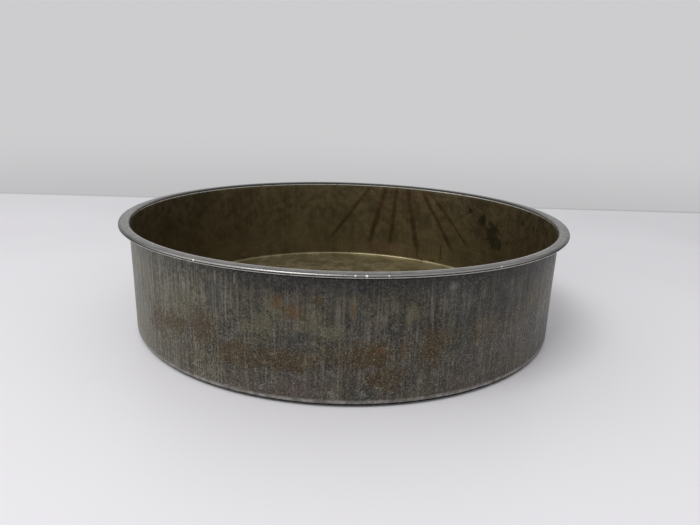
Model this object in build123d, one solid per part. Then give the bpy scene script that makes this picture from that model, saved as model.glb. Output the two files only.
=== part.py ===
from build123d import *
from math import cos, degrees, radians, sin
import os

# A round, straight-sided sheet-steel pan standing on its flat bottom. Millimetres, +Z up.
# The origin is the centre of the underside of the bottom, so the pan's axis is the Z axis.
# The body is drawn from one disc of sheet. Its edge is turned out over the top of the wall,
# rolled round a wire, and tucked back under the rim, where it ends in a short lip that
# stands against the wall.

# Driving dimensions
inside_diameter = 304.8  # across the wall's inner faces, just below the rim
height = 76.2  # from the surface it stands on to the crest of the rim
sheet = 0.5  # thickness of the steel
wall_lean = 0.1  # degrees that the wall leans out from upright
corner_radius = 2.4  # outside of the bend between bottom and wall
flare_radius = 2.2  # upper face of the bend between wall and rim
rim_reach = 7.2  # from the wall's inner face to the rim's outer edge
rim_fall = 1.5  # degrees that the top of the rim falls outwards
wire_diameter = 1.2  # wire rolled into the rim
wire_clearance = 0.02  # between the wire and the sheet rolled round it
wire_gap = 1.0  # between the wire's two cut ends
tuck_slope = 15.0  # degrees that the tucked sheet falls towards the wall
lip_radius = 0.4  # tight side of the bend between tucked sheet and lip
lip_length = 0.6  # straight part of the lip
lip_gap = 0.15  # between the lip and the wall

# Bend radii, measured on the middle line of the sheet
half_sheet = sheet / 2
corner_bend = corner_radius - half_sheet
flare_bend = flare_radius - half_sheet
lip_bend = lip_radius + half_sheet
roll_inside = wire_diameter / 2 + wire_clearance
roll_bend = roll_inside + half_sheet
roll_outside = roll_inside + sheet

# Turns between one straight stretch and the next, in degrees
upright = 90
half_turn = 180
full_turn = 360
corner_turn = upright - wall_lean
flare_turn = upright - wall_lean + rim_fall
roll_turn = half_turn - rim_fall - tuck_slope
lip_turn = upright - tuck_slope - wall_lean

lean = radians(wall_lean)
fall = radians(rim_fall)
tuck = radians(tuck_slope)
inside_radius = inside_diameter / 2

# Centre of the flare's section, from the inner face of the wall and the crest of the rim
flare_centre_r = inside_radius + flare_radius * cos(lean)
flare_centre_z = height - flare_radius

# Ends of the wall's straight stretch
wall_top_r = flare_centre_r - flare_bend * cos(lean)
wall_top_z = flare_centre_z + flare_bend * sin(lean)
wall_foot_z = half_sheet + corner_bend * (1 - sin(lean))
wall_length = (wall_top_z - wall_foot_z) / cos(lean)
wall_foot_r = wall_top_r - wall_length * sin(lean)
floor_end_r = wall_foot_r - corner_bend * cos(lean)

# Straight top of the rim, and the centre of the roll's section, which is the wire's too
roll_centre_r = inside_radius + rim_reach - roll_outside
rim_run = roll_centre_r - flare_centre_r + (roll_bend - flare_bend) * sin(fall)
rim_length = rim_run / cos(fall)
rim_start_z = flare_centre_z + flare_bend * cos(fall)
roll_centre_z = rim_start_z - rim_length * sin(fall) - roll_bend * cos(fall)

# Tucked stretch, long enough to bring the lip within its gap of the wall
tuck_start_r = roll_centre_r + roll_bend * sin(tuck)
tuck_start_z = roll_centre_z - roll_bend * cos(tuck)
off_wall = (tuck_start_r - wall_top_r) * cos(lean) + (wall_top_z - tuck_start_z) * sin(lean)
lip_off_wall = sheet + lip_gap
tuck_run = off_wall - lip_off_wall - lip_bend * (1 - cos(radians(lip_turn)))
tuck_length = tuck_run / sin(radians(lip_turn))


def sheet_line():
    """The middle line of the sheet, from the pan's axis out to the end of the lip."""
    floor = Line((0, half_sheet), (floor_end_r, half_sheet))
    corner = JernArc(floor @ 1, floor % 1, corner_bend, corner_turn)
    wall = PolarLine(corner @ 1, wall_length, direction=corner % 1)
    flare = JernArc(wall @ 1, wall % 1, flare_bend, -flare_turn)
    rim_top = PolarLine(flare @ 1, rim_length, direction=flare % 1)
    roll = JernArc(rim_top @ 1, rim_top % 1, roll_bend, -roll_turn)
    tucked = PolarLine(roll @ 1, tuck_length, direction=roll % 1)
    lip_corner = JernArc(tucked @ 1, tucked % 1, lip_bend, lip_turn)
    lip = PolarLine(lip_corner @ 1, lip_length, direction=lip_corner % 1)
    return Wire([floor, corner, wall, flare, rim_top, roll, tucked, lip_corner, lip])


def pan_body():
    """Bottom, wall, rim and tucked edge: one strip of even thickness, turned about the axis."""
    middle = sheet_line()
    show_face, back_face = (
        middle.offset_2d(half_sheet, kind=Kind.TANGENT, side=side, closed=False)
        for side in (Side.LEFT, Side.RIGHT)
    )
    raw_edge = Line(show_face @ 0, back_face @ 1)
    axis_edge = Line(show_face @ 1, back_face @ 0)
    outline = Wire([*show_face.edges(), *back_face.edges(), raw_edge, axis_edge])
    return revolve(Plane.XZ * Face(outline), axis=Axis.Z)


def rim_wire():
    """The wire inside the roll: a ring whose two cut ends nearly meet."""
    section = Plane.XZ * Pos(roll_centre_r, roll_centre_z) * Circle(wire_diameter / 2)
    open_angle = degrees(wire_gap / roll_centre_r)
    return revolve(section, axis=Axis.Z, revolution_arc=full_turn - open_angle)


os.makedirs("parts", exist_ok=True)
for name, solid in {"pan_body": pan_body(), "rim_wire": rim_wire()}.items():
    export_step(solid, f"parts/{name}.step")
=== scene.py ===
from math import cos, pi, radians, sin, tau

import bpy
import numpy as np
from mathutils import Matrix, Vector


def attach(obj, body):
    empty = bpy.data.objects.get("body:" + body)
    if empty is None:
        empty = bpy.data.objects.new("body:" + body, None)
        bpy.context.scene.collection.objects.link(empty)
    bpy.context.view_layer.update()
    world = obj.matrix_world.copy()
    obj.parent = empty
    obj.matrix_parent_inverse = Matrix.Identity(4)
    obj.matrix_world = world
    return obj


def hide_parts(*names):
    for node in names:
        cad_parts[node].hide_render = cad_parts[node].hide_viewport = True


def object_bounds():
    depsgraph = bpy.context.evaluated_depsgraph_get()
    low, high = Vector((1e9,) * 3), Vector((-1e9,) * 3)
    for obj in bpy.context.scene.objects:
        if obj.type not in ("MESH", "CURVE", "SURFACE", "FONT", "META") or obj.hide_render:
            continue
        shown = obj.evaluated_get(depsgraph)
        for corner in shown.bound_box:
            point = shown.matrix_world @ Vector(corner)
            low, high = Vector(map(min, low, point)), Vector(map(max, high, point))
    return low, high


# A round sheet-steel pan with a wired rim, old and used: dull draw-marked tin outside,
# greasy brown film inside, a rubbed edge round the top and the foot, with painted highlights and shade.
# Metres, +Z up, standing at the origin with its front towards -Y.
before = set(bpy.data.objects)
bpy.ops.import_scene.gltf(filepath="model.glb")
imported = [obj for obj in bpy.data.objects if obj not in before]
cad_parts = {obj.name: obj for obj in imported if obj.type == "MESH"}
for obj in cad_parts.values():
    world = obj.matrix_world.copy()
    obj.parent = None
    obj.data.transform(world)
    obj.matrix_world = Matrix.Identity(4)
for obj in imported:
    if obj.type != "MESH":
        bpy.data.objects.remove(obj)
cad_low, cad_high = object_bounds()

MM = 0.001

# Sizes of the sheet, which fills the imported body's box
outer_radius = cad_high.x
height = cad_high.z
sheet = 0.5 * MM
wall_lean = radians(0.1)
corner_radius = 2.4 * MM  # outside of the bend between bottom and wall
flare_radius = 2.2 * MM  # upper face of the bend between wall and rim
rim_fall = radians(1.5)
rim_top_length = 3.85 * MM
roll_inside = 0.62 * MM  # round the wire
tuck_slope = radians(15)
tuck_length = 5.12 * MM
lip_radius = 0.4 * MM
lip_length = 0.6 * MM
half_sheet = sheet / 2
wall_radius = 152.4 * MM  # turns an angle round the pan into a length along its wall

steps_around = 576


# ---------------------------------------------------------------- section of the sheet


class SheetWalk:
    """Walks along the middle of the sheet's section, noting place, heading and zone."""

    def __init__(self):
        self.r, self.z, self.heading = 0.0, half_sheet, 0.0
        self.places = [(self.r, self.z, self.heading, "bottom")]

    def straight(self, zone, length, steps):
        start_r, start_z = self.r, self.z
        for step in range(1, steps + 1):
            along = length * step / steps
            self.r = start_r + along * cos(self.heading)
            self.z = start_z + along * sin(self.heading)
            self.places.append((self.r, self.z, self.heading, zone))

    def bend(self, zone, radius, turn, steps):
        side = 1 if turn > 0 else -1
        centre_r = self.r - side * radius * sin(self.heading)
        centre_z = self.z + side * radius * cos(self.heading)
        start = self.heading
        for step in range(1, steps + 1):
            self.heading = start + turn * step / steps
            self.r = centre_r + side * radius * sin(self.heading)
            self.z = centre_z - side * radius * cos(self.heading)
            self.places.append((self.r, self.z, self.heading, zone))


def section(floor_length, wall_length):
    """The section's middle line, from the axis out to the end of the tucked lip."""
    walk = SheetWalk()
    walk.straight("bottom", floor_length, steps=22)
    walk.bend("corner", corner_radius - half_sheet, pi / 2 - wall_lean, steps=7)
    walk.straight("wall", wall_length, steps=26)
    walk.bend("flare", flare_radius - half_sheet, -(pi / 2 - wall_lean + rim_fall), steps=6)
    walk.straight("rim", rim_top_length, steps=3)
    walk.bend("roll", roll_inside + half_sheet, -(pi - rim_fall - tuck_slope), steps=12)
    walk.straight("tuck", tuck_length, steps=3)
    walk.bend("tuck", lip_radius + half_sheet, pi / 2 - tuck_slope - wall_lean, steps=4)
    walk.straight("lip", lip_length, steps=2)
    return walk.places


def fitted_section():
    """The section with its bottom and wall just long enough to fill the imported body's box."""
    bare = section(0, 0)
    wall_length = (height - half_sheet - max(place[1] for place in bare)) / cos(wall_lean)
    bare_reach = max(place[0] for place in bare) + half_sheet
    floor_length = outer_radius - bare_reach - wall_length * sin(wall_lean)
    return section(floor_length, wall_length)


def section_outline():
    """The sheet's closed outline as (face, r, z, zone): show face out to the lip, back face home."""
    show, back = [], []
    for r, z, heading, zone in fitted_section():
        aside, upward = half_sheet * sin(heading), half_sheet * cos(heading)
        show.append(("show", r - aside, z + upward, zone))
        back.append(("back", r + aside, z - upward, zone))
    return show + back[::-1]


# ---------------------------------------------------------------- knocks and waves

# How far years of use have bent the sheet
oval_wall = 0.16 * MM  # mouth squeezed a little oval
wavy_wall = 0.07 * MM
sagging_rim = 0.10 * MM
wavy_rim = 0.04 * MM
rim_band = 5 * MM  # top part of the pan that sags
swollen_floor = 0.12 * MM
wavy_floor = 0.06 * MM
floor_clear = 4 * MM  # from the wall to where the floor's waves start
floor_fade = 20 * MM  # over which they grow to their full height
standing_radius = 96 * MM  # the bottom has bowed: it stands on this middle part
foot_lift = 1.0 * MM  # and its outer edge clears the table
left_share, right_share = 1.17, 0.33  # of that lift, at the pan's two sides


def wave(phase):
    """A wave between 0 and 1."""
    return (1 + np.sin(phase)) / 2


def dent(at_degrees, at_height, half_width, half_height, depth):
    """A shallow dent: degrees round from the front, + to the right, then millimetres."""
    return at_degrees, at_height * MM, half_width * MM, half_height * MM, depth * MM


wall_dents = [
    dent(-36, 44, 24, 22, 0.30),
    dent(6, 26, 30, 18, 0.24),
    dent(30, 50, 20, 24, 0.28),
    dent(64, 34, 26, 26, 0.26),
    dent(118, 40, 26, 26, 0.32),
    dent(163, 46, 22, 20, 0.24),
    dent(-74, 38, 28, 24, 0.26),
    dent(-128, 30, 24, 18, 0.30),
]


def dented(angle, z):
    """Depth of the dents at a place on the wall, each fading to nothing at its own edge."""
    depth_here = 0
    for at_degrees, at_height, half_width, half_height, depth in wall_dents:
        turned = (angle - radians(at_degrees) + pi) % tau - pi
        distance = np.hypot(turned * wall_radius / half_width, (z - at_height) / half_height)
        near = np.clip(1 - distance**2, 0, None)
        depth_here = depth_here + depth * near * near
    return depth_here


def knocked_about(angle, r, z):
    """Moves the sheet where use has bent it: the wall always inwards, the bottom up off the table."""
    up = np.clip(z / height, 0, 1)
    inwards = oval_wall * up * wave(2 * angle + 0.6)
    inwards += wavy_wall * up * wave(5 * angle + 1.9)
    inwards += dented(angle, z)
    on_the_wall = r > 0.9 * wall_radius

    top_edge = np.clip((z - (height - rim_band)) / rim_band, 0, 1)
    sag = sagging_rim * top_edge * wave(3 * angle + 0.4)
    sag += wavy_rim * top_edge * wave(11 * angle)

    middle = np.clip((wall_radius - floor_clear - r) / floor_fade, 0, 1)
    lift = swollen_floor * middle * wave(2 * angle + 9 * r / wall_radius)
    lift += wavy_floor * middle * wave(23 * r / wall_radius - angle)

    towards_foot = np.clip((r - standing_radius) / (wall_radius - standing_radius), 0, 1)
    below_half = np.clip(1 - z / (height / 2), 0, 1)
    middle_share, side_share = (left_share + right_share) / 2, (left_share - right_share) / 2
    lift_share = middle_share - side_share * np.sin(angle)
    lift += foot_lift * lift_share * towards_foot**2 * below_half
    return r - inwards * on_the_wall, z - sag + lift


# ---------------------------------------------------------------- the pressed sheet

INSIDE, RIM, OUTSIDE = 0, 1, 2


def finish_of(face, zone):
    """Which finish a strip of the section wears."""
    if zone in ("rim", "roll", "tuck", "lip"):
        return RIM
    if face == "show":
        return RIM if zone == "flare" else INSIDE
    return OUTSIDE


def turned_places(outline):
    """Every place of the mesh, ring by ring round the axis, and last the two on the axis."""
    axis_top, *strip, axis_foot = outline
    angle = (np.arange(steps_around) * tau / steps_around)[:, None]
    r = np.array([place[1] for place in strip])[None, :]
    z = np.array([place[2] for place in strip])[None, :]
    bent_r, bent_z = knocked_about(angle, r + 0 * angle, z + 0 * angle)
    places = np.stack([bent_r * np.sin(angle), -bent_r * np.cos(angle), bent_z], axis=-1)
    middle_lift = float(knocked_about(np.zeros(1), np.zeros(1), np.zeros(1))[1][0])
    poles = [(0, 0, end[2] + middle_lift) for end in (axis_top, axis_foot)]
    return [tuple(map(float, place)) for place in places.reshape(-1, 3)] + poles


def joined_faces(outline):
    """The faces between neighbouring rings, closed at the axis, and the finish each one wears."""
    worn = [finish_of(face, zone) for face, _, _, zone in outline[1:-1]]
    count = len(worn)
    top_pole, foot_pole = steps_around * count, steps_around * count + 1
    faces, slots = [], []
    for step in range(steps_around):
        here, there = step * count, (step + 1) % steps_around * count
        faces.append((top_pole, here, there))
        for k in range(count - 1):
            faces.append((here + k, here + k + 1, there + k + 1, there + k))
        faces.append((foot_pole, there + count - 1, here + count - 1))
        slots += [worn[0], *worn[1:], worn[-1]]
    return faces, slots


def pressed_pan(finishes):
    """The whole sheet as one closed mesh."""
    outline = section_outline()
    faces, slots = joined_faces(outline)
    mesh = bpy.data.meshes.new("pressed_pan")
    mesh.from_pydata(turned_places(outline), [], faces)
    for finish in finishes:
        mesh.materials.append(finish)
    mesh.polygons.foreach_set("material_index", slots)
    mesh.polygons.foreach_set("use_smooth", [True] * len(faces))
    mesh.update()
    pan = bpy.data.objects.new("pressed_pan", mesh)
    bpy.context.scene.collection.objects.link(pan)
    return pan


# ---------------------------------------------------------------- node helpers


def add(tree, kind, values=None, **settings):
    """Adds a node, sets its properties, and sets or links its sockets."""
    made = tree.nodes.new(kind)
    for name, value in settings.items():
        setattr(made, name, value)
    for socket, value in (values or {}).items():
        if isinstance(value, bpy.types.NodeSocket):
            tree.links.new(value, made.inputs[socket])
        else:
            made.inputs[socket].default_value = value
    return made


def maths(tree, operation, *values):
    """One step of arithmetic."""
    return add(tree, "ShaderNodeMath", dict(enumerate(values)), operation=operation).outputs[0]


def times(tree, first, second):
    return maths(tree, "MULTIPLY", first, second)


def plus(tree, first, second):
    return maths(tree, "ADD", first, second)


def minus(tree, first, second):
    return maths(tree, "SUBTRACT", first, second)


def ramp(tree, value, low, high, to_low=0.0, to_high=1.0, smooth=True):
    """Value from low..high brought to to_low..to_high."""
    kind = "SMOOTHSTEP" if smooth else "LINEAR"
    span = {"From Min": low, "From Max": high, "To Min": to_low, "To Max": to_high}
    return add(tree, "ShaderNodeMapRange", {"Value": value, **span}, interpolation_type=kind).outputs[0]


def band(tree, value, start, full, still_full, end):
    """1 between full and still_full, fading to 0 at start and at end."""
    return times(tree, ramp(tree, value, start, full), ramp(tree, value, end, still_full))


def mix(tree, share, first, second):
    """Colour between two colours, by a share."""
    sockets = {0: share, 6: first, 7: second}
    return add(tree, "ShaderNodeMix", sockets, data_type="RGBA").outputs[2]


def coat(tree, under, share, tint, strength=None):
    """A tint laid over a colour by a share, as strongly as asked."""
    if strength is not None:
        share = times(tree, share, strength)
    return mix(tree, share, under, tint)


def noise(tree, where, scale, detail, roughness, stretch=(1, 1, 1), shift=(0, 0, 0)):
    """Noise about 0.5 over a place, stretched along the axes and shifted."""
    mapped = add(tree, "ShaderNodeMapping", {"Vector": where, "Scale": stretch, "Location": shift}).outputs[0]
    sockets = {"Vector": mapped, "Scale": scale, "Detail": detail, "Roughness": roughness}
    return add(tree, "ShaderNodeTexNoise", sockets).outputs[0]


def axes_of(tree, vector):
    return add(tree, "ShaderNodeSeparateXYZ", {"Vector": vector}).outputs


def colour(red, green, blue):
    return (red, green, blue, 1.0)


def new_group(name, inputs, outputs):
    """A shader node group with named sockets; returns the tree, its input node and its output node."""
    tree = bpy.data.node_groups.new(name, "ShaderNodeTree")
    for label, kind, value in inputs:
        socket = tree.interface.new_socket(name=label, in_out="INPUT", socket_type=kind)
        if value is not None:
            socket.default_value = value
    for label, kind in outputs:
        tree.interface.new_socket(name=label, in_out="OUTPUT", socket_type=kind)
    return tree, tree.nodes.new("NodeGroupInput"), tree.nodes.new("NodeGroupOutput")


def place_group(tree, group, values):
    """Places a shared effect with this material's own values; returns its outputs."""
    return add(tree, "ShaderNodeGroup", values, node_tree=group).outputs


def new_material(name):
    """A material with its surface shader, and the object's own coordinates."""
    material = bpy.data.materials.new(name)
    material.use_nodes = True
    tree = material.node_tree
    tree.nodes.clear()
    shader = tree.nodes.new("ShaderNodeBsdfPrincipled")
    result = tree.nodes.new("ShaderNodeOutputMaterial")
    tree.links.new(shader.outputs[0], result.inputs[0])
    where = tree.nodes.new("ShaderNodeTexCoord").outputs["Object"]
    return material, tree, shader, where


def bump(tree, shader, relief, strength, depth):
    """Feeds a height over the surface to the shader's normal."""
    sockets = {"Height": relief, "Strength": strength, "Distance": depth}
    tree.links.new(add(tree, "ShaderNodeBump", sockets).outputs[0], shader.inputs["Normal"])


# ---------------------------------------------------------------- shared effects

FLOAT, VECTOR = "NodeSocketFloat", "NodeSocketVector"


def build_draw_lines():
    """Fine upright lines left in the wall by the drawing die, and slower bands behind them."""
    inputs = [("Position", VECTOR, None), ("Spacing", FLOAT, 2.2 * MM)]
    outputs = [("Fine", FLOAT), ("Broad", FLOAT)]
    tree, given, result = new_group("draw_lines", inputs, outputs)
    where, spacing = given.outputs["Position"], given.outputs["Spacing"]
    fine_scale = maths(tree, "DIVIDE", 1.0, spacing)
    broad_scale = maths(tree, "DIVIDE", 1.0, times(tree, spacing, 5.0))
    fine = noise(tree, where, fine_scale, 4.0, 0.6, stretch=(1, 1, 0.035))
    broad = noise(tree, where, broad_scale, 2.0, 0.5, stretch=(1, 1, 0.08))
    tree.links.new(ramp(tree, fine, 0.3, 0.7), result.inputs["Fine"])
    tree.links.new(ramp(tree, broad, 0.3, 0.7), result.inputs["Broad"])
    return tree


def build_mottle():
    """Cloudy oxide on old tin: blotches with ragged edges, and the finer bloom inside them."""
    inputs = [("Position", VECTOR, None), ("Size", FLOAT, 14 * MM)]
    outputs = [("Blotches", FLOAT), ("Bloom", FLOAT)]
    tree, given, result = new_group("oxide_mottle", inputs, outputs)
    where, size = given.outputs["Position"], given.outputs["Size"]
    wide = noise(tree, where, maths(tree, "DIVIDE", 1.0, size), 6.0, 0.62)
    bloom = noise(tree, where, maths(tree, "DIVIDE", 4.0, size), 5.0, 0.65)
    tree.links.new(ramp(tree, wide, 0.36, 0.64), result.inputs["Blotches"])
    tree.links.new(ramp(tree, bloom, 0.32, 0.68), result.inputs["Bloom"])
    return tree


def build_flecks():
    """Small hard-edged flecks: chipped tin, dried splashes, grit."""
    inputs = [("Position", VECTOR, None), ("Size", FLOAT, 2 * MM), ("Cover", FLOAT, 0.2)]
    tree, given, result = new_group("flecks", inputs, [("Mask", FLOAT)])
    where = given.outputs["Position"]
    scale = maths(tree, "DIVIDE", 1.0, given.outputs["Size"])
    ragged = noise(tree, where, scale, 4.0, 0.7)
    patchy = noise(tree, where, times(tree, scale, 0.13), 2.0, 0.5)
    both = plus(tree, ragged, times(tree, minus(tree, patchy, 0.5), 0.5))
    edge = minus(tree, 0.85, times(tree, given.outputs["Cover"], 0.5))
    tree.links.new(ramp(tree, both, edge, plus(tree, edge, 0.05)), result.inputs["Mask"])
    return tree


def build_stain():
    """One stain on the wall: an upright oval round a place, with a ragged, soft edge."""
    inputs = [
        ("Position", VECTOR, None),
        ("Angle", FLOAT, 0.0),
        ("Height", FLOAT, 0.04),
        ("Half Width", FLOAT, 0.005),
        ("Half Height", FLOAT, 0.005),
        ("Lean", FLOAT, 0.0),
        ("Ragged", FLOAT, 0.5),
        ("Waver", FLOAT, 0.5),
        ("Softness", FLOAT, 0.5),
        ("Ends", FLOAT, 3.0),
    ]
    tree, given, result = new_group("wall_stain", inputs, [("Mask", FLOAT)])
    see = given.outputs
    sockets = {"Vector": see["Position"], "Angle": times(tree, see["Angle"], -1.0)}
    faced = add(tree, "ShaderNodeVectorRotate", sockets, rotation_type="Z_AXIS").outputs[0]
    place = axes_of(tree, faced)
    away = times(tree, place["Y"], -1.0)
    along = times(tree, maths(tree, "ARCTAN2", place["X"], away), wall_radius)
    upward = minus(tree, place["Z"], see["Height"])
    straightened = minus(tree, along, times(tree, upward, see["Lean"]))
    across = maths(tree, "DIVIDE", straightened, see["Half Width"])
    upright = maths(tree, "DIVIDE", upward, see["Half Height"])
    blunt_ended = maths(tree, "POWER", maths(tree, "ABSOLUTE", upright), see["Ends"])
    distance = maths(tree, "SQRT", plus(tree, times(tree, across, across), blunt_ended))
    roughened = times(tree, minus(tree, see["Waver"], 0.5), see["Ragged"])
    edge = plus(tree, distance, times(tree, roughened, 4.0))
    inner = minus(tree, 1.0, see["Softness"])
    tree.links.new(ramp(tree, edge, inner, 1.0, 1.0, 0.0), result.inputs["Mask"])
    return tree


draw_lines = build_draw_lines()
oxide_mottle = build_mottle()
flecks = build_flecks()
wall_stain = build_stain()


def drawn(tree, where, spacing):
    return place_group(tree, draw_lines, {"Position": where, "Spacing": spacing})


def mottled(tree, where, size):
    return place_group(tree, oxide_mottle, {"Position": where, "Size": size})


def flecked(tree, where, size, cover):
    return place_group(tree, flecks, {"Position": where, "Size": size, "Cover": cover})["Mask"]


def spot(at_degrees, at_height, half_width, half_height, lean=0):
    """A stain's place and size: degrees round from the front, + to the right, then millimetres."""
    return {
        "Angle": radians(at_degrees),
        "Height": at_height * MM,
        "Half Width": half_width * MM,
        "Half Height": half_height * MM,
        "Lean": lean,
    }


def stains(tree, where, waver, spots, ragged=0.5, softness=0.5, ends=3.0):
    """The joint mask of several stains that share one kind of edge."""
    edge = {"Ragged": ragged, "Waver": waver, "Softness": softness, "Ends": ends}
    whole = None
    for place in spots:
        mask = place_group(tree, wall_stain, {"Position": where, **place, **edge})["Mask"]
        whole = mask if whole is None else maths(tree, "MAXIMUM", whole, mask)
    return whole


# ---------------------------------------------------------------- weathered outside

dark_tarnish = colour(0.030, 0.028, 0.024)
pale_tarnish = colour(0.084, 0.077, 0.058)
yellow_tarnish = colour(0.094, 0.086, 0.044)
blue_tarnish = colour(0.056, 0.058, 0.060)
tan_blotch = colour(0.140, 0.116, 0.090)
dark_blotch = colour(0.028, 0.026, 0.023)
dried_scum = colour(0.088, 0.060, 0.025)
washed_tin = colour(0.125, 0.104, 0.088)
bright_line = colour(0.190, 0.180, 0.148)
dark_line = colour(0.028, 0.026, 0.024)
dark_streak = colour(0.034, 0.032, 0.029)
grime_and_shade_under_rim = colour(0.025, 0.024, 0.026)
pale_bloom = colour(0.150, 0.140, 0.110)
dark_bloom = colour(0.022, 0.020, 0.018)
lit_side_dark = colour(0.085, 0.080, 0.056)
lit_side_bright = colour(0.360, 0.340, 0.268)
tan_stain = colour(0.110, 0.084, 0.072)
olive_stain = colour(0.125, 0.115, 0.072)
slate_stain = colour(0.040, 0.043, 0.043)
brown_stain = colour(0.066, 0.043, 0.018)
orange_rust = colour(0.110, 0.054, 0.020)
pale_run = colour(0.26, 0.26, 0.26)
bare_chip = colour(0.38, 0.36, 0.31)
black_pit = colour(0.022, 0.020, 0.018)
bright_grain = colour(0.235, 0.218, 0.170)
rubbed_foot_and_reflection = colour(0.30, 0.29, 0.27)
painted_foot_shade = colour(0.006, 0.005, 0.005)

tide_level = 24 * MM  # old waterline on the outside, at the pan's middle
tide_slope = 0.12  # its rise towards the right, where the pan once stood askew

brown_patches = [
    spot(5, 30, 16, 10),
    spot(8, 17, 14, 9),
    spot(18, 32, 8, 14),
    spot(-30, 36, 14, 14),
    spot(-38, 32, 16, 8),
    spot(-22, 26, 14, 9),
    spot(-12, 25, 20, 7),
    spot(-46, 30, 12, 12),
    spot(-4.5, 60, 3, 3),
]
tan_patches = [
    spot(-9, 9, 24, 8),
    spot(-20, 9, 10, 6),
    spot(26, 10, 10, 7),
]
olive_patches = [
    spot(-15, 44, 8, 8),
    spot(-36, 46, 14, 12),
    spot(-2, 42, 12, 6),
    spot(2, 56, 3, 8),
    spot(-52, 20, 12, 12),
]
slate_patches = [
    spot(4.5, 10, 10, 9),
    spot(-27, 55, 8, 12),
    spot(-8, 36, 9, 8),
    spot(26, 36, 12, 22),
    spot(36, 52, 16, 14),
    spot(48, 30, 12, 16),
]
rust_spots = [
    spot(-9.5, 53, 7, 5),
    spot(-12.5, 57.5, 4, 5),
    spot(12, 33, 0.9, 9),
    spot(7.5, 33.5, 4, 2.5),
    spot(-13.7, 5, 2, 3),
    spot(2, 55, 1.2, 6),
]
pale_drips = [
    spot(-26, 66, 1.2, 5),
    spot(-21.5, 67, 1.0, 4),
    spot(-26.8, 54, 0.5, 14),
    spot(21.8, 66, 4, 3),
    spot(-34.7, 57, 2.5, 3),
    spot(52, 42, 2.0, 26),
    spot(56, 44, 1.2, 24),
]
chipped_places = [
    spot(-31, 45, 7, 5),
    spot(-18, 38, 5, 4),
    spot(-15, 41, 5, 4),
    spot(-28.5, 13.6, 6, 4),
    spot(11.5, 9.6, 6, 3),
    spot(17.7, 8.3, 5, 3),
    spot(15.4, 5, 4, 2),
    spot(-40, 28, 8, 6),
]


def tarnish(tree, cloud, patch, drift):
    """The ground colour: cloudy tin, yellower in some stretches and bluer in others."""
    tin = mix(tree, cloud["Blotches"], dark_tarnish, pale_tarnish)
    tin = coat(tree, tin, ramp(tree, drift, 0.51, 0.60, 0.0, 0.85), yellow_tarnish)
    tin = coat(tree, tin, ramp(tree, drift, 0.47, 0.38, 0.0, 0.8), blue_tarnish)
    tin = coat(tree, tin, ramp(tree, patch["Blotches"], 0.55, 1.0, 0.0, 0.45), tan_blotch)
    return coat(tree, tin, ramp(tree, patch["Blotches"], 0.4, 0.0, 0.0, 0.6), dark_blotch)


def with_tide_mark(tree, tin, place, waver, cloud):
    """An old waterline: brown scum along its top edge, and paler washed tin below."""
    level = plus(tree, times(tree, place["X"], tide_slope), tide_level)
    raggedness = times(tree, minus(tree, waver, 0.5), 9 * MM)
    above = plus(tree, minus(tree, place["Z"], level), raggedness)
    scum = band(tree, above, -1.2 * MM, 0.8 * MM, 5 * MM, 17 * MM)
    scum = times(tree, scum, ramp(tree, cloud["Bloom"], 0.25, 0.6, 0.25, 1.0))
    tin = coat(tree, tin, scum, dried_scum, 0.75)
    return coat(tree, tin, ramp(tree, above, 0.5 * MM, -2.5 * MM, 0.0, 0.45), washed_tin)


def with_draw_lines(tree, tin, lines, drift, up):
    """Bright and dark lines up the wall, and a dark band under the rim that is grime and painted shade."""
    tin = coat(tree, tin, ramp(tree, lines["Fine"], 0.5, 1.0, 0.0, 0.5), bright_line)
    tin = coat(tree, tin, ramp(tree, lines["Fine"], 0.42, 0.0, 0.0, 0.5), dark_line)
    tin = coat(tree, tin, ramp(tree, lines["Broad"], 0.1, 0.6, 0.5, 0.0), dark_streak)
    # Grime and painted shade: the wall darkens towards its top, under the rim.
    wavering_up = plus(tree, up, times(tree, drift, 16 * MM))
    return coat(tree, tin, ramp(tree, wavering_up, 64 * MM, 80 * MM), grime_and_shade_under_rim, 0.88)


def with_lit_sides(tree, tin, lines, patch, across):
    """Paler and darker bloom, and painted reflection of the room's light on the tin towards the left and at
    the far right, streaky along the draw lines.
    """
    tin = coat(tree, tin, ramp(tree, patch["Bloom"], 0.6, 0.95, 0.0, 0.28), pale_bloom)
    tin = coat(tree, tin, ramp(tree, patch["Bloom"], 0.4, 0.05, 0.0, 0.30), dark_bloom)
    # Painted reflection: the tin is lightened towards the left, where the room's light falls, and along the
    # right edge.
    left_side = ramp(tree, across, -0.04, -0.158, 0.0, 0.62, smooth=False)
    right_side = ramp(tree, across, 0.146, 0.157, 0.0, 0.6)
    streaks = times(tree, plus(tree, lines["Fine"], patch["Bloom"]), 0.5)
    lit_side_tin = mix(tree, ramp(tree, streaks, 0.36, 0.62), lit_side_dark, lit_side_bright)
    return coat(tree, tin, maths(tree, "MAXIMUM", left_side, right_side), lit_side_tin)


def with_stains(tree, tin, where, waver):
    """Patches, rust and runs at their places round the wall."""
    layers = [
        (tan_patches, 0.8, 0.8, 0.6, tan_stain),
        (olive_patches, 0.8, 0.8, 0.6, olive_stain),
        (slate_patches, 0.7, 0.8, 0.65, slate_stain),
        (brown_patches, 0.8, 0.7, 0.82, brown_stain),
        (rust_spots, 0.5, 0.9, 0.7, orange_rust),
        (pale_drips, 0.25, 0.9, 0.4, pale_run),
    ]
    for spots, ragged, softness, strength, tint in layers:
        tin = coat(tree, tin, stains(tree, where, waver, spots, ragged, softness), tint, strength)
    return tin


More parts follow.
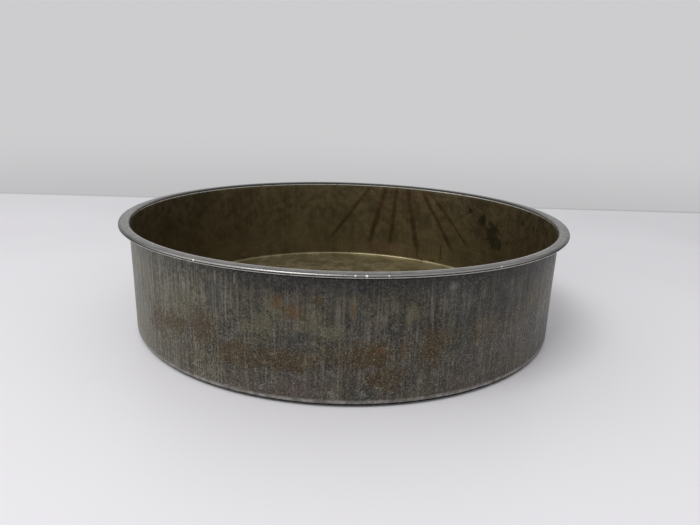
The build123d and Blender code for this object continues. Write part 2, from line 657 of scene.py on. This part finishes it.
def with_specks(tree, tin, where, waver, grain, up):
    """Chips and salt low on the wall, and a fine dark and bright grain all over."""
    salt = flecked(tree, where, size=0.7 * MM, cover=0.44)
    chip_places = stains(tree, where, waver, chipped_places, 0.9, 0.9)
    lower_half = ramp(tree, up, 55 * MM, 5 * MM, 0.3, 1.0)
    chipped = times(tree, salt, maths(tree, "MAXIMUM", chip_places, lower_half))
    tin = coat(tree, tin, chipped, bare_chip, 0.8)
    grain_share = ramp(tree, up, 68 * MM, 30 * MM, 0.45, 1.0)
    tin = coat(tree, tin, ramp(tree, grain, 0.49, 0.37, 0.0, 0.95), black_pit, grain_share)
    return coat(tree, tin, ramp(tree, grain, 0.54, 0.64, 0.0, 0.75), bright_grain, grain_share)


def weathered_outside():
    """Outside of the wall and the bottom: tin gone dull and blotchy, brown where rust comes through."""
    material, tree, shader, where = new_material("weathered_outside_tin")
    lines = drawn(tree, where, spacing=1.1 * MM)
    cloud = mottled(tree, where, size=17 * MM)
    patch = mottled(tree, where, size=7 * MM)
    grain = noise(tree, where, 1100.0, 4.0, 0.8)
    waver = noise(tree, where, 210.0, 5.0, 0.7)
    drift = noise(tree, where, 34.0, 4.0, 0.6, shift=(0.3, 0.1, 0.2))
    place = axes_of(tree, where)
    up = place["Z"]

    tin = tarnish(tree, cloud, patch, drift)
    tin = with_tide_mark(tree, tin, place, waver, cloud)
    tin = with_draw_lines(tree, tin, lines, drift, up)
    tin = with_lit_sides(tree, tin, lines, patch, place["X"])
    tin = with_stains(tree, tin, where, waver)
    tin = with_specks(tree, tin, where, waver, grain, up)
    # A worn band round the foot, lightened also as a painted reflection of the white table in the bend.
    foot_band = band(tree, up, 1.6 * MM, 2.2 * MM, 3.6 * MM, 5.0 * MM)
    tin = coat(tree, tin, foot_band, rubbed_foot_and_reflection, ramp(tree, waver, 0.40, 0.60, 0.3, 1.0))
    # Painted shade: the foot's lower bend is painted black where the table's shadow falls under its lifted
    # edge, and loses its metal and gloss.
    foot_shade = ramp(tree, up, 2.6 * MM, 2.1 * MM)
    tin = coat(tree, tin, foot_shade, painted_foot_shade, 0.97)
    tree.links.new(tin, shader.inputs["Base Color"])

    rough = ramp(tree, patch["Bloom"], 0.0, 1.0, 0.36, 0.58)
    rough = minus(tree, rough, times(tree, lines["Fine"], 0.06))
    rough = plus(tree, rough, times(tree, foot_shade, 0.4))
    tree.links.new(rough, shader.inputs["Roughness"])
    metal = ramp(tree, foot_shade, 0.0, 1.0, 0.55, 0.0, smooth=False)
    tree.links.new(metal, shader.inputs["Metallic"])
    gloss = ramp(tree, foot_shade, 0.0, 1.0, 0.25, 0.0, smooth=False)
    tree.links.new(gloss, shader.inputs["Specular IOR Level"])
    relief = plus(tree, times(tree, lines["Fine"], 0.4), times(tree, grain, 0.6))
    bump(tree, shader, relief, strength=0.45, depth=0.10 * MM)
    return material


# ---------------------------------------------------------------- greased inside

dark_film = colour(0.100, 0.075, 0.037)
pale_film = colour(0.150, 0.117, 0.057)
dark_floor = colour(0.215, 0.180, 0.088)
bright_floor = colour(0.370, 0.322, 0.190)
film_line = colour(0.15, 0.125, 0.075)
darker_sides_tint = colour(0.060, 0.046, 0.022)
worn_ring = colour(0.24, 0.185, 0.135)
warm_stain = colour(0.19, 0.110, 0.068)
run_foot = colour(0.036, 0.022, 0.009)
run_top = colour(0.078, 0.035, 0.009)
black_blot = colour(0.022, 0.018, 0.012)
pale_grit = colour(0.40, 0.37, 0.28)

drip_runs = [
    spot(177.5, 48, 4.2, 33, lean=-0.72),
    spot(167.3, 45, 4.2, 34, lean=-0.26),
    spot(161.0, 46, 3.4, 34, lean=-0.08),
    spot(153.5, 44, 4.4, 36, lean=0.22),
    spot(143.4, 46, 4.2, 30, lean=0.68),
    spot(138.3, 49, 3.0, 26, lean=1.0),
    spot(150.6, 12, 1.2, 8),
    spot(140.9, 14, 1.2, 9),
    spot(148.6, 2.6, 2.6, 1.0),
    spot(144.2, 4.2, 5.0, 1.0),
]
dark_blots = [
    spot(118.5, 44, 10, 13),
    spot(124, 55, 6, 6),
    spot(129.6, 61, 3, 2.5),
    spot(104, 63, 2.5, 2.5),
    spot(97, 63, 2, 2),
    spot(115, 37, 5, 6),
]
warm_patches = [
    spot(163, 12, 34, 7),
    spot(152, 66, 20, 5),
    spot(-140, 8, 10, 5),
]


def with_worn_rings(tree, base, where, waver, up):
    """Pale rings low on the wall, where tools scrape round it, warmer in a few places."""
    lying = noise(tree, where, 900.0, 3.0, 0.6, stretch=(0.03, 0.03, 1.0))
    warm = stains(tree, where, waver, warm_patches, 0.4, 0.8)
    low_band = band(tree, up, 3 * MM, 8 * MM, 16 * MM, 34 * MM)
    rings = times(tree, low_band, ramp(tree, lying, 0.48, 0.66, 0.0, 0.6))
    base = coat(tree, base, rings, worn_ring, ramp(tree, warm, 0.0, 1.0, 0.25, 1.0, smooth=False))
    return coat(tree, base, warm, warm_stain, ramp(tree, lying, 0.42, 0.60, 0.12, 0.55))


def greased_inside():
    """Inside of the pan: tin under an old brown film, with drips run down from the rim."""
    material, tree, shader, where = new_material("greased_inside_tin")
    lines = drawn(tree, where, spacing=3.0 * MM)
    mottle = mottled(tree, where, size=26 * MM)
    waver = noise(tree, where, 300.0, 3.0, 0.6)
    place = axes_of(tree, where)
    up = place["Z"]
    wall_share = ramp(tree, up, 1.0 * MM, 4.0 * MM)

    film = mix(tree, mottle["Blotches"], dark_film, pale_film)
    # The floor's tin is painted lighter than the wall's film: its own colour with a painted reflection of the
    # bright room above.
    floor_tin = mix(tree, mottle["Blotches"], dark_floor, bright_floor)
    base = mix(tree, wall_share, floor_tin, film)
    base = coat(tree, base, ramp(tree, lines["Fine"], 0.4, 1.0, 0.0, 0.35), film_line, wall_share)
    # Darker towards the left and right sides of the inside wall.
    sides = ramp(tree, maths(tree, "ABSOLUTE", place["X"]), 0.08, 0.14, 0.0, 0.4)
    base = coat(tree, base, sides, darker_sides_tint, wall_share)
    base = with_worn_rings(tree, base, where, waver, up)
    run_tint = mix(tree, ramp(tree, up, 24 * MM, 66 * MM), run_foot, run_top)
    base = coat(tree, base, stains(tree, where, waver, drip_runs, 0.12, 0.85, ends=9.0), run_tint, 0.72)
    base = coat(tree, base, stains(tree, where, waver, dark_blots), black_blot, 0.75)
    base = coat(tree, base, flecked(tree, where, size=1.6 * MM, cover=0.2), pale_grit, 0.6)
    tree.links.new(base, shader.inputs["Base Color"])

    tree.links.new(ramp(tree, mottle["Bloom"], 0.0, 1.0, 0.30, 0.46), shader.inputs["Roughness"])
    shader.inputs["Metallic"].default_value = 0.7
    relief = plus(tree, times(tree, lines["Fine"], 0.4), mottle["Bloom"])
    bump(tree, shader, relief, strength=0.4, depth=0.08 * MM)
    return material


# ---------------------------------------------------------------- rubbed rim and wire

dull_rim = colour(0.140, 0.137, 0.130)
fair_rim = colour(0.235, 0.228, 0.212)
rim_bloom = colour(0.30, 0.29, 0.275)
painted_inner_reflection = colour(0.58, 0.57, 0.53)
painted_dark_reflection = colour(0.075, 0.072, 0.070)
painted_dark_crest = colour(0.030, 0.029, 0.030)
painted_crest_highlight = colour(0.38, 0.37, 0.355)
painted_back_shade = colour(0.040, 0.037, 0.031)
dirt_and_painted_shade = colour(0.012, 0.011, 0.011)
painted_table_reflection = colour(0.50, 0.49, 0.45)
bare_nick = colour(0.50, 0.49, 0.47)
painted_nick_glint = colour(0.92, 0.91, 0.88)

rim_nicks = [
    spot(2.0, 75.5, 0.5, 0.4),
    spot(4.0, 75.5, 0.8, 0.6),
    spot(7.9, 75.5, 0.5, 0.4),
    spot(-29, 75.5, 0.7, 0.4),
    spot(31, 75.5, 0.6, 0.4),
]


def with_flat_top(tree, tin, out, back):
    """The rim's flat top: a painted reflection as a light inner line in front, and a painted dark reflection
    before the crest.
    """
    front = ramp(tree, back, -0.07, -0.13)
    inner = [wall_radius + step * MM for step in (1.1, 1.5, 2.2, 2.6)]
    # Painted reflection: a light line on the inner part of the flat top, strongest in front.
    tin = coat(tree, tin, band(tree, out, *inner), painted_inner_reflection, ramp(tree, front, 0.0, 1.0, 0.1, 0.75))
    # Painted dark reflection on the flat top before the crest, mostly in front.
    before_crest = ramp(tree, out, outer_radius - 2.2 * MM, outer_radius - 1.6 * MM)
    return coat(tree, tin, before_crest, painted_dark_reflection, ramp(tree, back, 0.03, -0.10, 0.1, 0.65))


def with_crest(tree, tin, crest, out, back):
    """The crest, painted bright in front as a highlight and painted dark at the sides, and painted shade on
    the back of the rim.
    """
    # Painted highlight on the crest in front, painted shade on it at the sides.
    lit_crest_tin = mix(tree, ramp(tree, back, -0.095, -0.140), painted_dark_crest, painted_crest_highlight)
    tin = coat(tree, tin, crest, lit_crest_tin, ramp(tree, back, 0.02, 0.08, 0.85, 0.3))
    # Painted shade over the inner part of the rim at the back.
    back_shade_band = ramp(tree, out, wall_radius + 5.0 * MM, wall_radius + 1.2 * MM)
    return coat(tree, tin, back_shade_band, painted_back_shade, ramp(tree, back, -0.03, 0.06, 0.0, 0.8))


def rubbed_rim():
    """Rolled rim and tucked lip: rubbed tin with painted highlights and reflections on its top and crest,
    grime and painted shade underneath.
    """
    material, tree, shader, where = new_material("rubbed_rim_tin")
    mottle = mottled(tree, where, size=7 * MM)
    waver = noise(tree, where, 160.0, 3.0, 0.6)
    place = axes_of(tree, where)
    up, back = place["Z"], place["Y"]
    level_place = add(tree, "ShaderNodeCombineXYZ", {"X": place["X"], "Y": back}).outputs[0]
    out = add(tree, "ShaderNodeVectorMath", {0: level_place}, operation="LENGTH").outputs["Value"]
    crest = ramp(tree, out, outer_radius - 1.1 * MM, outer_radius - 0.6 * MM)
    groove = ramp(tree, up, height - 0.85 * MM, height - 1.05 * MM)
    lower_roll = band(tree, up, *(height - step * MM for step in (1.45, 1.65, 2.6, 2.9)))

    tin = mix(tree, mottle["Blotches"], dull_rim, fair_rim)
    tin = coat(tree, tin, ramp(tree, mottle["Bloom"], 0.5, 1.0, 0.0, 0.4), rim_bloom)
    tin = with_flat_top(tree, tin, out, back)
    tin = with_crest(tree, tin, crest, out, back)
    # Grime and painted shade below the crest: the roll's underside, the tuck and the lip are dark.
    tin = coat(tree, tin, groove, dirt_and_painted_shade, 0.96)
    # Painted reflection of the white table on the underside of the roll.
    tin = coat(tree, tin, lower_roll, painted_table_reflection, ramp(tree, waver, 0.3, 0.5, 0.6, 1.0))
    tin = coat(tree, tin, flecked(tree, where, size=1.2 * MM, cover=0.24), bare_nick, 0.8)
    # Nicks in the tin on the crest, each with a painted glint.
    tin = coat(tree, tin, stains(tree, where, waver, rim_nicks, 0.1), painted_nick_glint, crest)
    tree.links.new(tin, shader.inputs["Base Color"])

    # The grime and painted shade also take away metal and gloss.
    dirt_and_shade = times(tree, groove, minus(tree, 1.0, lower_roll))
    dullness = plus(tree, ramp(tree, mottle["Bloom"], 0.0, 1.0, 0.24, 0.36), times(tree, dirt_and_shade, 0.5))
    tree.links.new(dullness, shader.inputs["Roughness"])
    metal = ramp(tree, dirt_and_shade, 0.0, 1.0, 0.85, 0.0, smooth=False)
    tree.links.new(metal, shader.inputs["Metallic"])
    shader.inputs["Specular IOR Level"].default_value = 0.1
    bump(tree, shader, mottle["Bloom"], strength=0.25, depth=0.02 * MM)
    return material


def wire_steel():
    """Drawn wire inside the roll: plain dark steel, mottled, with rust specks."""
    material, tree, shader, where = new_material("drawn_wire_steel")
    dark_wire, pale_wire = colour(0.12, 0.115, 0.11), colour(0.20, 0.19, 0.18)
    rust_speck = colour(0.16, 0.075, 0.03)
    mottle = mottled(tree, where, size=4 * MM)
    base = mix(tree, mottle["Blotches"], dark_wire, pale_wire)
    base = coat(tree, base, ramp(tree, mottle["Bloom"], 0.7, 1.0), rust_speck)
    tree.links.new(base, shader.inputs["Base Color"])
    tree.links.new(ramp(tree, mottle["Bloom"], 0.0, 1.0, 0.35, 0.55), shader.inputs["Roughness"])
    shader.inputs["Metallic"].default_value = 1.0
    bump(tree, shader, mottle["Bloom"], strength=0.3, depth=0.04 * MM)
    return material


# ---------------------------------------------------------------- the pan and its wire

pan = pressed_pan([greased_inside(), rubbed_rim(), weathered_outside()])
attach(pan, "root")
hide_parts("pan_body")

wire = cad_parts["rim_wire"]
wire.data.materials.clear()
wire.data.materials.append(wire_steel())


# ---------------------------------------------------------------- table, light, camera

table_near = -3.0
table_far = 0.475  # the far edge runs a little way behind the pan
table_side = 3.0
near_paint = colour(0.83, 0.82, 0.84)
far_paint = colour(0.67, 0.66, 0.68)
cloudy_paint = colour(0.85, 0.84, 0.86)
painted_edge_shadow = colour(0.30, 0.29, 0.30)


def white_table_top():
    """Plain pale paint, a little darker towards the back, with a painted shadow along the far edge."""
    material, tree, shader, where = new_material("white_table_top")
    cloud = noise(tree, where, 6.0, 2.0, 0.5)
    back = axes_of(tree, where)["Y"]
    paint = mix(tree, ramp(tree, back, -0.3, 0.4), near_paint, far_paint)
    paint = coat(tree, paint, ramp(tree, cloud, 0.3, 0.7, 0.0, 0.2), cloudy_paint)
    # Painted shadow along the table's far edge.
    edge = ramp(tree, back, table_far - 16 * MM, table_far - 9 * MM, 0.0, 0.55)
    tree.links.new(coat(tree, paint, edge, painted_edge_shadow), shader.inputs["Base Color"])
    tree.links.new(ramp(tree, cloud, 0.3, 0.7, 0.42, 0.52), shader.inputs["Roughness"])
    return material


def white_table():
    """A wide flat sheet that the pan stands on."""
    corners = [
        (-table_side, table_near, 0),
        (table_side, table_near, 0),
        (table_side, table_far, 0),
        (-table_side, table_far, 0),
    ]
    mesh = bpy.data.meshes.new("white_table")
    mesh.from_pydata(corners, [], [(0, 1, 2, 3)])
    mesh.materials.append(white_table_top())
    table = bpy.data.objects.new("white_table", mesh)
    bpy.context.scene.collection.objects.link(table)


def soft_lamp(name, place, target, width, depth, watts, tint=(1, 1, 1)):
    """A rectangular lamp at a place, turned to face its target."""
    lamp = bpy.data.lights.new(name, "AREA")
    lamp.shape, lamp.size, lamp.size_y = "RECTANGLE", width, depth
    lamp.energy, lamp.color = watts, tint
    holder = bpy.data.objects.new(name, lamp)
    holder.location = place
    holder.rotation_mode = "QUATERNION"
    holder.rotation_quaternion = (Vector(target) - Vector(place)).to_track_quat("-Z", "Y")
    bpy.context.scene.collection.objects.link(holder)


def room_light(from_left, from_right, low_wall, high_wall):
    """The room's even light, stronger from the left, and the plain wall seen behind the table."""
    world = bpy.data.worlds.new("plain_room")
    world.use_nodes = True
    tree = world.node_tree
    background = tree.nodes["Background"]
    background.inputs["Color"].default_value = colour(0.985, 0.98, 1.0)
    heading = axes_of(tree, tree.nodes.new("ShaderNodeTexCoord").outputs["Generated"])
    seen = tree.nodes.new("ShaderNodeLightPath").outputs["Is Camera Ray"]
    room = ramp(tree, heading["X"], -1.0, 1.0, from_left, from_right, smooth=False)
    wall = ramp(tree, heading["Z"], -0.2, -0.05, low_wall, high_wall)
    wall_part = times(tree, seen, wall)
    room_part = times(tree, minus(tree, 1.0, seen), room)
    tree.links.new(plus(tree, wall_part, room_part), background.inputs["Strength"])
    bpy.context.scene.world = world


# Where the camera stands, in outer radii of the pan, and how it is turned, in radians
camera_away = 2.5544
camera_up = 0.9688
camera_pitch = 0.2838  # down
camera_yaw = 0.0112  # to the right
camera_roll = 0.0304  # its right side raised
lens_length = 28.03  # millimetres, for a sensor 36 mm wide


def eye_level_camera():
    """Looks a little down at the pan, with the slight roll of a camera held by hand."""
    lens = bpy.data.cameras.new("front_camera")
    lens.sensor_width = 36
    lens.lens = lens_length
    lens.clip_start = 0.01
    camera = bpy.data.objects.new("front_camera", lens)
    bpy.context.scene.collection.objects.link(camera)
    pitch, yaw, roll = camera_pitch, camera_yaw, camera_roll
    ahead = Vector((sin(yaw) * cos(pitch), cos(yaw) * cos(pitch), -sin(pitch)))
    level_right = Vector((cos(yaw), -sin(yaw), 0))
    level_up = level_right.cross(ahead)
    right = level_right * cos(roll) + level_up * sin(roll)
    upwards = level_up * cos(roll) - level_right * sin(roll)
    turn = Matrix((right, upwards, -ahead)).transposed()
    place = (0, -camera_away * outer_radius, camera_up * outer_radius)
    camera.matrix_world = Matrix.Translation(place) @ turn.to_4x4()
    bpy.context.scene.camera = camera


white_table()
room_light(from_left=0.75, from_right=0.60, low_wall=0.50, high_wall=0.62)
soft_lamp("window_lamp", (-2.0, -0.5, 0.9), (0, 0, 0.04), 1.6, 1.3, watts=4.0, tint=(1.0, 0.99, 0.97))
soft_lamp("ceiling_lamp", (-0.74, -0.9, 1.9), (0, 0, 0), 1.0, 0.9, watts=18)
bpy.context.scene.view_settings.view_transform = "Standard"
eye_level_camera()
